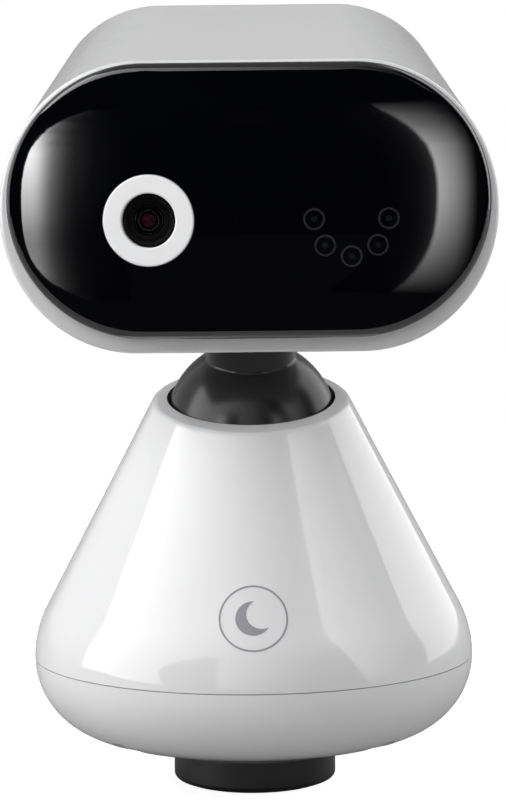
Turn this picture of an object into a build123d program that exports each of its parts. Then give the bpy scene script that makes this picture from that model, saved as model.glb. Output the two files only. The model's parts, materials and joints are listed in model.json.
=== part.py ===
from build123d import *
from math import acos, asin, cos, pi, radians, sin, sqrt, tan
import os

# Baby monitor camera. Millimetres, +Z up, the camera looks towards -Y, +X to the right as seen
# from the front. The origin is the centre of the resting face under the foot, on the pan axis.

# ---- driving dimensions ----
fit = 0.02                # radial gap of screws and fixed plugs in their holes
running = 0.05            # radial gap of shafts in their bores
seam = 0.12               # gap round covers and windows

# foot and lower bowl
foot_r = 13.5
foot_bottom = 0.25        # the rubber pad carries the weight, the foot hangs just above
foot_top = 5.95
spigot_r = 9.0
insert_r = 5.5
insert_low_z = 0.6
insert_bore_r = 2.6       # tapping size of a 1/4 inch 20 thread per inch socket
insert_bore_depth = 8.0
pad_outer_r = 12.3
pad_inner_r = 7.0
bowl_r = 36.5
parting_z = 21.25
bowl_edge_r = 13.0        # rounding between the side and the floor of the bowl
bowl_floor_slope = 15.0   # degrees
bowl_wall = 1.8
lip_outer_r = 33.9
screw_ring_r = 28.0       # circle of the four screws under the bowl
chassis_z = 16.95
chassis_t = 2.0
hub_top_z = 22.75
hub_r = 9.0
pivot_r = 6.0             # pan pivot
pivot_low_z = 13.95
clip_z = 14.9             # underside of the retaining clip
clip_inner_r = 5.2
screw_seat_z = 11.75      # seats of the screws under the bowl
tower_top_z = 13.85
socket_z = 18.25          # height of the power inlet and the power button
power_button_x = 11.0

# cone
cone_gap = 0.14           # rotating gap above the bowl
cone_half_angle = 27.8
cone_curve_r = 17.9       # rounding between the widest circle and the straight cone
cone_wall = 2.2
mouth_z = 64.55           # height of the slanted mouth on the axis
mouth_slope = 14.0        # degrees, lower at the front
turntable_z = 23.25
turntable_t = 2.0

# pan drive
gear_module = 0.6
ring_teeth = 48
pinion_teeth = 16
gear_z = chassis_z + chassis_t
gear_width = 3.0
backlash = 0.12

# ball and neck
ball_z = 59.45
ball_r = 14.2
ball_wall = 2.4
lean = 18.0               # degrees the neck leans forward
neck_r = 7.3
axle_r = 1.5
post_width = 12.0
post_depth = 7.0
tilt_up = 30.0
tilt_down = 25.0

# head
body_up = 42.2            # height of the head's own axis above the ball, along the neck
face_y = -23.0            # front edge of the white housing
face_r = 21.85
face_straight = 17.4      # half of the straight part between the two round ends
rear_r = 18.2
rear_straight = 14.75
rear_t = 44.2
head_wall = 2.0
rear_round = 5.0
rear_cover_r = 12.35
rear_cover_straight = 15.3
rear_screw_x = 25.5

# black front cover
cover_z = 97.05
cover_r = 21.4
cover_straight = 16.45
cover_skirt_y = -19.9
dome_peak_y = -30.0
dome_half_width = 41.5    # half axes of the cover's horizontal section
dome_depth = 10.0
dome_crown_r = 100.0      # gentle vertical curvature
cover_wall = 1.8
cover_round = 1.6
lens_x = -15.6
lens_drop = 2.8           # lens and lamps sit this far below the cover's centre
led_x = 15.8
led_circle_r = 5.8
led_window_r = 1.75

os.makedirs("parts", exist_ok=True)

# ---- places worked out from the dimensions ----
lean_c = cos(radians(lean))
lean_s = sin(radians(lean))
axis_y = -body_up * lean_s
axis_z = ball_z + body_up * lean_c
lens_z = cover_z - lens_drop
centre_distance = gear_module * (ring_teeth + pinion_teeth) / 2
mouth_plane = Plane(origin=(0, 0, mouth_z), x_dir=(1, 0, 0),
                    z_dir=(0, -sin(radians(mouth_slope)), cos(radians(mouth_slope))))
screw_xy = screw_ring_r * cos(radians(45))
bowl_screws = [(sx * screw_xy, sy * screw_xy) for sx in (-1, 1) for sy in (-1, 1)]
led_places = [(led_x - led_circle_r * cos(radians(a)), lens_z - led_circle_r * sin(radians(a)))
              for a in range(0, 181, 45)]


def head_plane(t):
    """Section of the head t behind the neck; local y is up along the neck, z points forward."""
    return Plane(origin=(0, axis_y + t * lean_c, axis_z + t * lean_s), x_dir=(1, 0, 0),
                 z_dir=(0, -lean_c, -lean_s))


def neck_plane(u):
    """Section of the neck u above the ball's centre; local y points to the rear."""
    return Plane(origin=(0, -u * lean_s, ball_z + u * lean_c), x_dir=(1, 0, 0),
                 z_dir=(0, -lean_s, lean_c))


def front_plane(y, x=0.0, z=0.0):
    """Upright plane facing forward at depth y; local x and y are the object's X and Z."""
    return Plane(origin=(x, y, z), x_dir=(1, 0, 0), z_dir=(0, -1, 0))


def rear_facing(plane):
    """The same plane turned round to face the rear; local x runs towards -X."""
    return Plane(origin=plane.origin, x_dir=-plane.x_dir, z_dir=-plane.z_dir)


def dome_y(x):
    """Depth of the front cover's outer face at its centre height."""
    return dome_peak_y + dome_depth * (1 - sqrt(1 - (x / dome_half_width) ** 2))


def screws(seat, places, head_r, head_h, shank_r, shank_l):
    """Cross-head screws; the heads stand on the seat plane and point along its normal."""
    with BuildPart() as group:
        with BuildSketch(seat):
            with Locations(*places):
                Circle(head_r)
        extrude(amount=head_h)
        with BuildSketch(seat):
            with Locations(*places):
                Circle(shank_r)
        extrude(amount=-shank_l)
        with BuildSketch(seat.offset(head_h)):
            with Locations(*places):
                Rectangle(head_r * 1.2, head_r * 0.3)
                Rectangle(head_r * 0.3, head_r * 1.2)
        extrude(amount=-head_h * 0.5, mode=Mode.SUBTRACT)
    return group


def gear_outline(teeth, phase):
    """Closed outline of an involute gear with 20 degree flanks, drawn in the current BuildLine."""
    pitch = gear_module * teeth / 2
    base = pitch * cos(radians(20))
    tip = pitch + gear_module
    root = pitch - 1.25 * gear_module
    start = max(base, root)
    half_pitch_tooth = pi / (2 * teeth) - backlash / (4 * pitch)
    involute_at_pitch = tan(radians(20)) - radians(20)

    def half_angle(r):
        pressure = acos(base / r)
        return half_pitch_tooth + involute_at_pitch - (tan(pressure) - pressure)

    radii = [start + (tip - start) * k / 4 for k in range(5)]
    for tooth in range(teeth):
        middle = radians(phase) + 2 * pi * tooth / teeth
        rising = [(r * cos(middle - half_angle(r)), r * sin(middle - half_angle(r))) for r in radii]
        falling = [(r * cos(middle + half_angle(r)), r * sin(middle + half_angle(r)))
                   for r in reversed(radii)]
        root_in = middle - half_angle(start)
        root_out = middle + half_angle(start)
        next_root = middle + 2 * pi / teeth - half_angle(start)
        Spline(*rising)
        Line(rising[-1], falling[0])
        Spline(*falling)
        if root < base:
            Line((root * cos(root_in), root * sin(root_in)), rising[0])
            Line(falling[-1], (root * cos(root_out), root * sin(root_out)))
        Line((root * cos(root_out), root * sin(root_out)),
             (root * cos(next_root), root * sin(next_root)))


# ======== base: foot, bowl and what is inside ========
bowl_arc_end = (bowl_r - bowl_edge_r + bowl_edge_r * sin(radians(bowl_floor_slope)),
                parting_z - bowl_edge_r * cos(radians(bowl_floor_slope)))
floor_inner = bowl_arc_end[0] - (bowl_arc_end[1] - foot_top) / tan(radians(bowl_floor_slope))


def bowl_section(inset):
    """Half section of the bowl's solid form, the given distance inside its outer face."""
    edge_r = bowl_edge_r - inset
    slope = radians(bowl_floor_slope)
    centre_r = bowl_r - bowl_edge_r
    end_r = centre_r + edge_r * sin(slope)
    end_z = parting_z - edge_r * cos(slope)
    floor_z = foot_top + inset
    corner_r = end_r - (end_z - floor_z) / tan(slope)
    with BuildLine() as outline:
        Line((0, floor_z), (corner_r, floor_z))
        Line((corner_r, floor_z), (end_r, end_z))
        CenterArc((centre_r, parting_z), edge_r, -90 + bowl_floor_slope, 90 - bowl_floor_slope)
        Line((centre_r + edge_r, parting_z), (0, parting_z))
        Line((0, parting_z), (0, floor_z))
    return outline


board_pillars = [(-5.5, 25.2), (8.0, 25.2)]
power_board_z = chassis_z - 1.4
with BuildPart() as bowl_towers:                    # screw towers and pillars, trimmed to the bowl
    with BuildSketch(Plane.XY.offset(tower_top_z)):
        with Locations(*bowl_screws):
            Circle(4.4)
    extrude(amount=foot_top - tower_top_z)
    with BuildSketch(Plane.XY.offset(power_board_z)):
        with Locations(*board_pillars):
            Circle(1.8)
    extrude(amount=foot_top - power_board_z)
    with BuildSketch(Plane.XZ):
        add(bowl_section(0.3).line)
        make_face()
    revolve(axis=Axis.Z, mode=Mode.INTERSECT)

with BuildPart() as base_bowl:
    with BuildSketch(Plane.XZ):
        add(bowl_section(0.0).line)
        make_face()
    revolve(axis=Axis.Z)
    with BuildSketch(Plane.XZ):
        add(bowl_section(bowl_wall).line)
        make_face()
    revolve(axis=Axis.Z, mode=Mode.SUBTRACT)
    with BuildSketch(Plane.XY.offset(parting_z - 3.0)):     # standing lip that closes the rotating gap
        Circle(lip_outer_r)
        Circle(lip_outer_r - 1.5, mode=Mode.SUBTRACT)
    extrude(amount=4.4)
    with BuildSketch(Plane.XY.offset(parting_z - 3.0)):     # web between the lip and the wall
        Circle(lip_outer_r + 1.0)
        Circle(lip_outer_r - 1.5, mode=Mode.SUBTRACT)
    extrude(amount=1.2)
    add(bowl_towers.part)
    with BuildSketch(Plane.XY):
        Circle(spigot_r + fit)
    extrude(amount=parting_z, mode=Mode.SUBTRACT)
    with BuildSketch(Plane.XY.offset(screw_seat_z)):        # sunk heads of the screws
        with Locations(*bowl_screws):
            Circle(2.9)
    extrude(amount=-screw_seat_z, mode=Mode.SUBTRACT)
    with BuildSketch(Plane.XY):
        with Locations(*bowl_screws):
            Circle(1.25)
    extrude(amount=parting_z, mode=Mode.SUBTRACT)
    with BuildSketch(Plane.XY.offset(power_board_z)):
        with Locations(*board_pillars):
            Circle(0.8)
    extrude(amount=-4.8, mode=Mode.SUBTRACT)
    with BuildSketch(front_plane(30.0, z=socket_z)):        # slot of the power inlet
        with Locations((0, 0)):
            SlotOverall(9.6, 3.7)
    extrude(amount=-8.0, mode=Mode.SUBTRACT)
    with BuildSketch(front_plane(28.5, z=socket_z)):        # bore of the power button
        with Locations((power_button_x, 0)):
            Circle(2.35)
    extrude(amount=-8.0, mode=Mode.SUBTRACT)
base_bowl.part.label = "base_bowl"
export_step(base_bowl.part, "parts/base_bowl.step")

with BuildPart() as tripod_foot:
    with BuildSketch(Plane.XY.offset(foot_bottom)):
        Circle(foot_r)
    extrude(amount=foot_top - foot_bottom)
    fillet(tripod_foot.edges().group_by(Axis.Z)[0], 0.9)
    with BuildSketch(Plane.XY.offset(foot_top)):
        Circle(spigot_r)
    extrude(amount=bowl_wall)
    with BuildSketch(Plane.XY.offset(foot_bottom)):  # groove of the rubber pad
        Circle(pad_outer_r)
        Circle(pad_inner_r, mode=Mode.SUBTRACT)
    extrude(amount=0.75, mode=Mode.SUBTRACT)
    with BuildSketch(Plane.XY):
        Circle(insert_r + fit)
    extrude(amount=parting_z, mode=Mode.SUBTRACT)
tripod_foot.part.label = "tripod_foot"
export_step(tripod_foot.part, "parts/tripod_foot.step")

with BuildPart() as foot_pad:
    with BuildSketch(Plane.XY):
        Circle(pad_outer_r - fit)
        Circle(pad_inner_r + fit, mode=Mode.SUBTRACT)
    extrude(amount=0.98)
    fillet(foot_pad.edges().group_by(Axis.Z)[0], 0.2)
foot_pad.part.label = "foot_pad"
export_step(foot_pad.part, "parts/foot_pad.step")

insert_flange_z = foot_top + bowl_wall + fit        # its flange clamps the foot to the bowl's floor
with BuildPart() as tripod_insert:
    with BuildSketch(Plane.XY.offset(insert_low_z)):
        Circle(insert_r)
    extrude(amount=insert_flange_z - insert_low_z)
    with BuildSketch(Plane.XY.offset(insert_flange_z)):
        Circle(10.2)
    extrude(amount=1.8)
    with BuildSketch(Plane.XY.offset(insert_low_z)):
        Circle(insert_bore_r)
    extrude(amount=insert_bore_depth, mode=Mode.SUBTRACT)
tripod_insert.part.label = "tripod_insert"
export_step(tripod_insert.part, "parts/tripod_insert.step")

ballast_low = foot_top + bowl_wall + 0.1
ballast_top = screw_seat_z + 2.2
ballast_inner_r = 10.5
ballast_outer_r = 21.0
with BuildPart() as ballast_ring:
    with BuildSketch(Plane.XZ):
        with BuildLine():
            Polyline((ballast_inner_r, ballast_low), (floor_inner - 1.0, ballast_low),
                     (ballast_outer_r, ballast_low + 2.4), (ballast_outer_r, ballast_top),
                     (ballast_inner_r, ballast_top), close=True)
        make_face()
    revolve(axis=Axis.Z)
ballast_ring.part.label = "ballast_ring"
export_step(ballast_ring.part, "parts/ballast_ring.step")

with BuildPart() as base_chassis:
    with BuildSketch(Plane.XY.offset(chassis_z)):
        Circle(30.5)
        with Locations((2.75, 31.0)):               # clear of the power board
            Rectangle(25.5, 19.0, mode=Mode.SUBTRACT)
    extrude(amount=chassis_t)
    with BuildSketch(Plane.XY.offset(tower_top_z)):
        with Locations(*bowl_screws):
            Circle(3.3)
    extrude(amount=chassis_z - tower_top_z)
    with BuildSketch(Plane.XY.offset(chassis_z - 1.0)):
        Circle(hub_r)
    extrude(amount=hub_top_z - chassis_z + 1.0)
    with BuildSketch(Plane.XY.offset(chassis_z - 1.0)):
        Circle(pivot_r + running)
    extrude(amount=hub_top_z - chassis_z + 1.0, mode=Mode.SUBTRACT)
    with BuildSketch(Plane.XY.offset(tower_top_z)):
        with Locations(*bowl_screws):
            Circle(1.0 + fit)
    extrude(amount=4.4, mode=Mode.SUBTRACT)
base_chassis.part.label = "base_chassis"
export_step(base_chassis.part, "parts/base_chassis.step")

base_screws = screws(Plane.XY.offset(screw_seat_z).rotated((180, 0, 0)), bowl_screws, 2.2, 1.3, 1.0, 6.0)
base_screws.part.label = "base_screws"
export_step(base_screws.part, "parts/base_screws.step")

with BuildPart() as ring_gear:
    with BuildSketch(Plane.XY.offset(gear_z)):
        with BuildLine():
            gear_outline(ring_teeth, 0.0)
        make_face()
        Circle(hub_r + fit, mode=Mode.SUBTRACT)
    extrude(amount=gear_width)
ring_gear.part.label = "ring_gear"
export_step(ring_gear.part, "parts/ring_gear.step")

with BuildPart() as thrust_washer:
    with BuildSketch(Plane.XY.offset(hub_top_z)):
        Circle(8.8)
        Circle(pivot_r + 0.3, mode=Mode.SUBTRACT)
    extrude(amount=0.4)
thrust_washer.part.label = "thrust_washer"
export_step(thrust_washer.part, "parts/thrust_washer.step")

with BuildPart() as power_board:
    with BuildSketch(Plane.XY.offset(power_board_z)):
        with Locations((3.0, 25.75)):
            RectangleRounded(23.0, 6.5, 0.8)
        with Locations(*board_pillars):
            Circle(0.9, mode=Mode.SUBTRACT)
    extrude(amount=0.8)
power_board.part.label = "power_board"
export_step(power_board.part, "parts/power_board.step")

power_board_screws = screws(Plane.XY.offset(power_board_z + 0.8), board_pillars,
                            1.4, 0.8, 0.78, 4.0)
power_board_screws.part.label = "power_board_screws"
export_step(power_board_screws.part, "parts/power_board_screws.step")

with BuildPart() as usb_socket:
    with BuildSketch(front_plane(27.2, z=socket_z)):
        SlotOverall(9.2, 3.4)
    extrude(amount=-8.0)
    with BuildSketch(front_plane(27.2, z=socket_z)):    # foot that is soldered to the board
        with Locations((0, -1.2)):
            Rectangle(6.0, 1.4)
    extrude(amount=-1.8)
    with BuildSketch(front_plane(28.4, z=socket_z)):
        SlotOverall(8.5, 2.7)
    extrude(amount=-7.0, mode=Mode.SUBTRACT)
    with BuildSketch(front_plane(28.4, z=socket_z)):    # contact tongue
        Rectangle(6.4, 0.7)
    extrude(amount=-5.6)
usb_socket.part.label = "usb_socket"
export_step(usb_socket.part, "parts/usb_socket.step")

with BuildPart() as power_switch:
    with BuildSketch(Plane.XY.offset(power_board_z + 0.8)):
        with Locations((12.2, 26.9)):
            Rectangle(4.4, 3.6)
    extrude(amount=3.6)
    with BuildSketch(front_plane(28.7, z=socket_z)):
        with Locations((power_button_x + 1.0, 0)):
            Circle(0.9)
    extrude(amount=-1.2)
power_switch.part.label = "power_switch"
export_step(power_switch.part, "parts/power_switch.step")

with BuildPart() as power_button:
    with BuildSketch(front_plane(30.9, z=socket_z)):
        with Locations((power_button_x, 0)):
            Circle(2.15)
    extrude(amount=-4.1)
    fillet(power_button.edges().group_by(Axis.Y)[-1], 0.35)
power_button.part.label = "power_button"
export_step(power_button.part, "parts/power_button.step")

# ======== turret: cone, turntable and the ball's post ========
cone_slope = radians(cone_half_angle)
cone_line_r = bowl_r - cone_curve_r * (1 - cos(cone_slope))
cone_line_z = parting_z + cone_curve_r * sin(cone_slope)


def cone_r(z):
    """Outer radius on the straight part of the cone."""
    return cone_line_r - (z - cone_line_z) * tan(cone_slope)


def cone_section(inset, low, high):
    """Half section of the cone's solid form, the given distance inside its outer face."""
    centre_r = bowl_r - cone_curve_r
    arc_r = cone_curve_r - inset
    start_angle = asin((low - parting_z) / arc_r)
    end_r = centre_r + arc_r * cos(cone_slope)
    end_z = parting_z + arc_r * sin(cone_slope)
    high_r = end_r - (high - end_z) * tan(cone_slope)
    low_r = centre_r + sqrt(arc_r ** 2 - (low - parting_z) ** 2)
    with BuildLine() as outline:
        Line((0, low), (low_r, low))
        ThreePointArc((low_r, low),
                      (centre_r + arc_r * cos((start_angle + cone_slope) / 2),
                       parting_z + arc_r * sin((start_angle + cone_slope) / 2)),
                      (end_r, end_z))
        Line((end_r, end_z), (high_r, high))
        Line((high_r, high), (0, high))
        Line((0, high), (0, low))
    return outline


cone_bottom = parting_z + cone_gap
lip_z = 55.45                                       # underside of the thick lip round the ball
with BuildPart() as cone_outer:
    with BuildSketch(Plane.XZ):
        add(cone_section(0.0, cone_bottom, mouth_z + 9.6).line)
        make_face()
    revolve(axis=Axis.Z)
    split(bisect_by=mouth_plane, keep=Keep.BOTTOM)
    fillet(cone_outer.faces().sort_by(Axis.Z)[-1].edges(), 1.2)

with BuildPart() as cone_cavity:
    with BuildSketch(Plane.XZ):
        add(cone_section(cone_wall, cone_bottom, lip_z).line)
        make_face()
    revolve(axis=Axis.Z)

# small moon inlay on the front of the cone
emblem_z = 32.6
emblem_r = 5.4
emblem_line = 0.28
emblem_plane = Plane(origin=(0, -cone_r(emblem_z), emblem_z), x_dir=(1, 0, 0),
                     z_dir=(0, -cos(cone_slope), sin(cone_slope))).offset(-3.0)
with BuildPart() as emblem:
    with BuildSketch(emblem_plane):
        Circle(emblem_r)
        Circle(emblem_r - emblem_line, mode=Mode.SUBTRACT)
    extrude(amount=6)
    with BuildSketch(emblem_plane):
        Circle(2.8)
        with Locations((1.3, 0.7)):
            Circle(2.4, mode=Mode.SUBTRACT)
    extrude(amount=6)
    with BuildSketch(Plane.XZ):
        add(cone_section(-0.04, cone_bottom, 50.0).line)
        make_face()
    revolve(axis=Axis.Z, mode=Mode.INTERSECT)
    with BuildSketch(Plane.XZ):
        add(cone_section(0.3, cone_bottom, 50.0).line)
        make_face()
    revolve(axis=Axis.Z, mode=Mode.SUBTRACT)
emblem.part.label = "emblem"
export_step(emblem.part, "parts/emblem.step")

cone_boss_places = bowl_screws
socket_screw_r = 16.2
socket_r = 17.9
with BuildPart() as cone_shell:
    add(cone_outer.part)
    add(cone_cavity.part, mode=Mode.SUBTRACT)
    with BuildSketch(Plane.XY.offset(turntable_z + turntable_t)):
        with Locations(*cone_boss_places):
            Circle(2.6)
    extrude(amount=11.4)
    with Locations((0, 0, ball_z)):
        Sphere(ball_r + 0.6, mode=Mode.SUBTRACT)
    with BuildSketch(Plane.XY.offset(lip_z - 1)):   # clearance above the ball's widest circle
        Circle(12.0)
    extrude(amount=20, mode=Mode.SUBTRACT)
    with BuildSketch(Plane.XY.offset(turntable_z)):
        with Locations(*cone_boss_places):
            Circle(0.8 + fit)
    extrude(amount=9.0, mode=Mode.SUBTRACT)
    with BuildSketch(Plane.XY.offset(lip_z - 1)):
        with PolarLocations(socket_screw_r, 3, start_angle=90):
            Circle(0.65 + fit)
    extrude(amount=4.2, mode=Mode.SUBTRACT)
    add(emblem.part, mode=Mode.SUBTRACT)
cone_shell.part.label = "cone_shell"
export_step(cone_shell.part, "parts/cone_shell.step")

with BuildPart() as turntable:
    with BuildSketch(Plane.XY.offset(turntable_z)):
        Circle(33.4)
        with Locations(*cone_boss_places):
            Circle(0.95, mode=Mode.SUBTRACT)
        with Locations((0, centre_distance)):       # motor shaft
            Circle(2.2, mode=Mode.SUBTRACT)
        with Locations((-11.0, centre_distance), (11.0, centre_distance)):
            Circle(0.75, mode=Mode.SUBTRACT)
        with Locations((-12.5, 0), (12.5, 0)):
            Circle(0.95, mode=Mode.SUBTRACT)
    extrude(amount=turntable_t)
    with BuildSketch(Plane.XY.offset(pivot_low_z)):
        Circle(pivot_r)
    extrude(amount=turntable_z - pivot_low_z)
    with BuildSketch(Plane.XY.offset(pivot_low_z)):        # passage of the wires
        Circle(3.4)
    extrude(amount=12.0, mode=Mode.SUBTRACT)
    with BuildSketch(Plane.XY.offset(clip_z - 0.05)):       # groove of the retaining clip
        Circle(pivot_r + 1)
        Circle(clip_inner_r, mode=Mode.SUBTRACT)
    extrude(amount=0.9, mode=Mode.SUBTRACT)
turntable.part.label = "turntable"
export_step(turntable.part, "parts/turntable.step")

with BuildPart() as retaining_clip:
    with BuildSketch(Plane.XY.offset(clip_z)):
        Circle(8.2)
        Circle(clip_inner_r + fit, mode=Mode.SUBTRACT)
        with Locations((0, -7)):
            Rectangle(7.0, 8.0, mode=Mode.SUBTRACT)
    extrude(amount=0.8)
retaining_clip.part.label = "retaining_clip"
export_step(retaining_clip.part, "parts/retaining_clip.step")

cone_screws = screws(Plane.XY.offset(turntable_z).rotated((180, 0, 0)), cone_boss_places,
                     1.6, 0.4, 0.8, 9.0)
cone_screws.part.label = "cone_screws"
export_step(cone_screws.part, "parts/cone_screws.step")

deck_z = turntable_z + turntable_t
with BuildPart() as pan_motor:
    with BuildSketch(Plane.XY.offset(deck_z)):
        with Locations((0, centre_distance)):
            Circle(8.0)
    extrude(amount=12.0)
    fillet(pan_motor.edges().group_by(Axis.Z)[-1], 0.8)
    with BuildSketch(Plane.XY.offset(deck_z)):
        with Locations((0, centre_distance)):
            SlotOverall(27.0, 5.0)
            with Locations((-11.0, 0), (11.0, 0)):
                Circle(0.85, mode=Mode.SUBTRACT)
    extrude(amount=0.9)
    with BuildSketch(Plane.XY.offset(deck_z + 3.0)):
        with Locations((0, centre_distance - 8.4)):
            Rectangle(7.0, 3.4)
    extrude(amount=7.0)
    with BuildSketch(Plane.XY.offset(deck_z)):
        with Locations((0, centre_distance)):
            Circle(axle_r + running)
    extrude(amount=4.0, mode=Mode.SUBTRACT)
pan_motor.part.label = "pan_motor"
export_step(pan_motor.part, "parts/pan_motor.step")

motor_ear_places = [(-11.0, centre_distance), (11.0, centre_distance)]
motor_screws = screws(Plane.XY.offset(deck_z + 0.9), motor_ear_places, 1.5, 0.9, 0.7, 2.9)
motor_screws.part.label = "motor_screws"
export_step(motor_screws.part, "parts/motor_screws.step")

with BuildPart() as motor_shaft:
    with BuildSketch(Plane.XY.offset(gear_z + 0.2)):
        with Locations((0, centre_distance)):
            Circle(axle_r)
    extrude(amount=deck_z + 3.8 - gear_z)
motor_shaft.part.label = "motor_shaft"
export_step(motor_shaft.part, "parts/motor_shaft.step")

pinion_plane = Plane(origin=(0, centre_distance, gear_z + 0.3), x_dir=(1, 0, 0), z_dir=(0, 0, 1))
with BuildPart() as motor_pinion:
    with BuildSketch(pinion_plane):
        with BuildLine():
            gear_outline(pinion_teeth, -90 + 180 / pinion_teeth)
        make_face()
        Circle(axle_r + 0.01, mode=Mode.SUBTRACT)
    extrude(amount=gear_width)
motor_pinion.part.label = "motor_pinion"
export_step(motor_pinion.part, "parts/motor_pinion.step")

with BuildPart() as tilt_post:
    with BuildSketch(Plane.XY.offset(deck_z)):
        RectangleRounded(31.0, 9.0, 2.0)
        with Locations((-12.5, 0), (12.5, 0)):
            Circle(0.95, mode=Mode.SUBTRACT)
    extrude(amount=2.0)
    with BuildSketch(Plane.XY.offset(deck_z + 2.0)):
        RectangleRounded(post_width, post_depth, 1.0)
    extrude(amount=ball_z - deck_z - 2.0)
    with BuildSketch(Plane.YZ.offset(-post_width / 2)):
        with Locations((0, ball_z)):
            Circle(post_depth / 2 + 1.0)
    extrude(amount=post_width)
    with BuildSketch(Plane.YZ.offset(-post_width / 2)):
        with Locations((0, ball_z)):
            Circle(axle_r + running)
    extrude(amount=post_width, mode=Mode.SUBTRACT)
    with BuildSketch(Plane.XY.offset(deck_z)):      # passage of the wires
        RectangleRounded(5.0, 3.4, 0.8)
    extrude(amount=26.0, mode=Mode.SUBTRACT)
tilt_post.part.label = "tilt_post"
export_step(tilt_post.part, "parts/tilt_post.step")

post_screws = screws(Plane.XY.offset(deck_z + 2.0), [(-12.5, 0), (12.5, 0)], 1.8, 1.2, 0.9, 3.9)
post_screws.part.label = "post_screws"
export_step(post_screws.part, "parts/post_screws.step")

socket_low_z = lip_z - 6.3
with BuildPart() as ball_socket:
    with BuildSketch(Plane.XY.offset(socket_low_z)):
        Circle(socket_r)
        with PolarLocations(socket_screw_r, 3, start_angle=90):
            Circle(0.75, mode=Mode.SUBTRACT)
    extrude(amount=lip_z - socket_low_z)
    with Locations((0, 0, ball_z)):
        Sphere(ball_r + 0.3, mode=Mode.SUBTRACT)
ball_socket.part.label = "ball_socket"
export_step(ball_socket.part, "parts/ball_socket.step")

socket_places = [(socket_screw_r * cos(radians(a)), -socket_screw_r * sin(radians(a)))
                 for a in (90, 210, 330)]
socket_screws = screws(Plane.XY.offset(socket_low_z).rotated((180, 0, 0)), socket_places,
                       1.2, 0.8, 0.65, 9.3)
socket_screws.part.label = "socket_screws"
export_step(socket_screws.part, "parts/socket_screws.step")

# ======== head: neck, housing, cover and camera ========
shoulder_u = body_up - face_r + 0.85                # the neck's shoulder seats in the underside's recess
with BuildPart() as neck_ball:
    with Locations((0, 0, ball_z)):
        Sphere(ball_r)
    with BuildSketch(neck_plane(8.0)):
        Circle(neck_r)
    extrude(amount=shoulder_u - 8.0)
    fillet(neck_ball.edges().filter_by(GeomType.CIRCLE).sort_by(Axis.Z)[-2:-1], 0.6)
    with BuildSketch(neck_plane(shoulder_u - 0.5)):
        Circle(6.2)
    extrude(amount=1.9)
    with Locations((0, 0, ball_z)):
        Sphere(ball_r - ball_wall, mode=Mode.SUBTRACT)
    with BuildSketch(neck_plane(4.0)):              # passage of the wires
        Circle(3.2)
    extrude(amount=20.0, mode=Mode.SUBTRACT)
    with BuildSketch(Plane.YZ.offset(-post_width / 2 - 0.6)):   # slot for the post over the whole tilt
        with BuildLine():
            reach = 2.0 * ball_r
            margin = 19.5
            front = radians(tilt_down + margin)
            rear = radians(tilt_up + margin)
            Polyline((0, ball_z), (-reach * sin(front), ball_z - reach * cos(front)),
                     (0, ball_z - reach * 1.2),
                     (reach * sin(rear), ball_z - reach * cos(rear)), close=True)
        make_face()
    extrude(amount=post_width + 1.2, mode=Mode.SUBTRACT)
    with BuildSketch(Plane.YZ.offset(-ball_r)):
        with Locations((0, ball_z)):
            Circle(axle_r + 0.01)
    extrude(amount=2 * ball_r, mode=Mode.SUBTRACT)
    with BuildSketch(neck_plane(shoulder_u - 4.0)):
        with PolarLocations(4.7, 3, start_angle=90):
            Circle(0.6 + fit)
    extrude(amount=8.0, mode=Mode.SUBTRACT)
neck_ball.part.label = "neck_ball"
export_step(neck_ball.part, "parts/neck_ball.step")

with BuildPart() as tilt_axle:
    with BuildSketch(Plane.YZ.offset(-ball_r + 0.9)):
        with Locations((0, ball_z)):
            Circle(axle_r)
    extrude(amount=2 * (ball_r - 0.9))
    chamfer(tilt_axle.edges().filter_by(GeomType.CIRCLE), 0.2)
tilt_axle.part.label = "tilt_axle"
export_step(tilt_axle.part, "parts/tilt_axle.step")


def head_form(inset, front_t, back_t):
    """Tapering solid with two round ends, the given distance inside the housing's outer face."""
    def size_at(t):
        share = (t - face_t) / (rear_t - face_t)
        return (face_r + (rear_r - face_r) * share - inset,
                face_straight + (rear_straight - face_straight) * share)
    with BuildPart() as form:
        for t in (front_t, back_t):
            r, straight = size_at(t)
            with BuildSketch(head_plane(t)):
                SlotOverall(2 * (straight + r), 2 * r)
        loft()
    return form


face_t = (face_y - axis_y) / lean_c
behind = Axis((0, axis_y, axis_z), (0, lean_c, lean_s))
cavity_back_t = rear_t - 3.4

with BuildPart() as head_outer:
    add(head_form(0.0, face_t - 9.0, rear_t).part)
    fillet(head_outer.faces().sort_by(behind)[-1].edges(), rear_round)
    split(bisect_by=Plane(origin=(0, face_y, 0), z_dir=(0, 1, 0)), keep=Keep.TOP)
    fillet(head_outer.faces().sort_by(Axis.Y)[0].edges(), 0.7)

with BuildPart() as head_cavity:
    add(head_form(head_wall, face_t - 9.0, cavity_back_t).part)
    split(bisect_by=Plane(origin=(0, cover_skirt_y, 0), z_dir=(0, 1, 0)), keep=Keep.TOP)

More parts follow.
